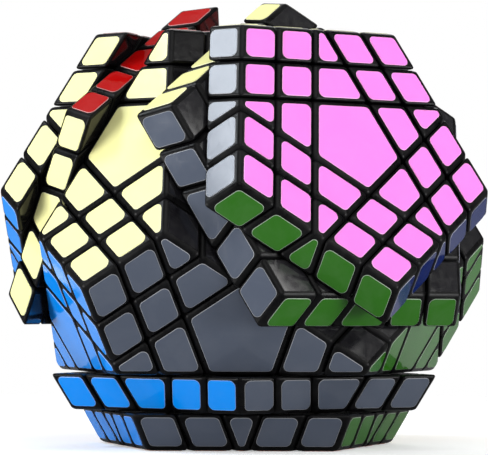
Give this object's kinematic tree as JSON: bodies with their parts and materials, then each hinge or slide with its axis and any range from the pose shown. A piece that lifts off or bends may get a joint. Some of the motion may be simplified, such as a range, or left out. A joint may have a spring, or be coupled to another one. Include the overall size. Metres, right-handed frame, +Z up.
{
  "type": "dodecahedron twisty puzzle",
  "caption": "Turning puzzle in the shape of a dodecahedron. Outer and second layers rotate about three of its face axes, and coloured stickers mark its pieces.",
  "frame": {"origin": "centre of the outside of the bottom face, which the puzzle stands on", "axes": "+Z up along the bottom face's own turning axis; -Y is the front, towards the low front face; +X is to the right"},
  "size_m": [0.1222, 0.1286, 0.1127],
  "materials": {
    "black_plastic": "moulded black plastic, glossy, with softened edges",
    "core_plastic": "moulded dark grey plastic, satin",
    "screw_steel": "turned steel",
    "spring_steel": "drawn spring wire",
    "sticker_orange": "glossy vinyl sticker, orange",
    "sticker_red": "glossy vinyl sticker, red",
    "sticker_grey": "glossy vinyl sticker, grey",
    "sticker_green": "glossy vinyl sticker, green",
    "sticker_bright_yellow": "glossy vinyl sticker, bright yellow",
    "sticker_purple": "glossy vinyl sticker, purple",
    "sticker_light_blue": "glossy vinyl sticker, light blue",
    "sticker_pink": "glossy vinyl sticker, pink",
    "sticker_navy": "glossy vinyl sticker, navy",
    "sticker_white": "glossy vinyl sticker, white",
    "sticker_dark_green": "glossy vinyl sticker, dark green",
    "sticker_pale_yellow": "glossy vinyl sticker, pale yellow"
  },
  "bodies": {
    "root": {"core": "core_plastic", "frame_of_fixed_pieces": "black_plastic", "top_centre_cap": "sticker_red", "low_front_centre_cap": "sticker_grey", "low_right_centre_cap": "sticker_green", "low_back_right_centre_cap": "sticker_bright_yellow", "low_back_left_centre_cap": "sticker_purple", "low_left_centre_cap": "sticker_light_blue", "high_back_right_centre_cap": "sticker_navy", "high_back_centre_cap": "sticker_white", "high_left_centre_cap": "sticker_pale_yellow", "bottom_screw": "screw_steel", "bottom_spring": "spring_steel", "high_right_screw": "screw_steel", "high_right_spring": "spring_steel", "high_back_left_screw": "screw_steel", "high_back_left_spring": "spring_steel"},
    "bottom_outer_layer": {"bottom_centre_cap": "sticker_orange", "bottom_centre_ring": "black_plastic", "bottom_corner_1": "black_plastic", "bottom_corner_2": "black_plastic", "bottom_corner_3": "black_plastic", "bottom_corner_4": "black_plastic", "bottom_corner_5": "black_plastic", "bottom_edge_1": "black_plastic", "bottom_edge_2": "black_plastic", "bottom_edge_3": "black_plastic", "bottom_edge_4": "black_plastic", "bottom_edge_5": "black_plastic"},
    "bottom_second_layer": {"bottom_second_layer": "black_plastic"},
    "high_right_outer_layer": {"high_right_centre_cap": "sticker_pink", "high_right_centre_ring": "black_plastic", "high_right_corner_1": "black_plastic", "high_right_corner_2": "black_plastic", "high_right_corner_3": "black_plastic", "high_right_corner_4": "black_plastic", "high_right_corner_5": "black_plastic", "high_right_edge_1": "black_plastic", "high_right_edge_2": "black_plastic", "high_right_edge_3": "black_plastic", "high_right_edge_4": "black_plastic", "high_right_edge_5": "black_plastic"},
    "high_right_second_layer": {"high_right_second_layer": "black_plastic"},
    "high_back_left_outer_layer": {"high_back_left_centre_cap": "sticker_dark_green", "high_back_left_centre_ring": "black_plastic", "high_back_left_corner_1": "black_plastic", "high_back_left_corner_2": "black_plastic", "high_back_left_corner_3": "black_plastic", "high_back_left_corner_4": "black_plastic", "high_back_left_corner_5": "black_plastic", "high_back_left_edge_1": "black_plastic", "high_back_left_edge_2": "black_plastic", "high_back_left_edge_3": "black_plastic", "high_back_left_edge_4": "black_plastic", "high_back_left_edge_5": "black_plastic"},
    "high_back_left_second_layer": {"high_back_left_second_layer": "black_plastic"}
  },
  "joints": [
    {"name": "bottom_outer_turn", "type": "hinge", "parent": "root", "child": "bottom_outer_layer", "pos_m": [0, 0, 0.052], "axis": [0, 0, -1], "continuous": true},
    {"name": "bottom_second_turn", "type": "hinge", "parent": "root", "child": "bottom_second_layer", "pos_m": [0, 0, 0.052], "axis": [0, 0, -1], "continuous": true},
    {"name": "high_right_outer_turn", "type": "hinge", "parent": "root", "child": "high_right_outer_layer", "pos_m": [0, 0, 0.052], "axis": [0.5257, -0.7236, 0.4472], "continuous": true},
    {"name": "high_right_second_turn", "type": "hinge", "parent": "root", "child": "high_right_second_layer", "pos_m": [0, 0, 0.052], "axis": [0.5257, -0.7236, 0.4472], "continuous": true},
    {"name": "high_back_left_outer_turn", "type": "hinge", "parent": "root", "child": "high_back_left_outer_layer", "pos_m": [0, 0, 0.052], "axis": [-0.8507, 0.2764, 0.4472], "continuous": true},
    {"name": "high_back_left_second_turn", "type": "hinge", "parent": "root", "child": "high_back_left_second_layer", "pos_m": [0, 0, 0.052], "axis": [-0.8507, 0.2764, 0.4472], "continuous": true}
  ]
}
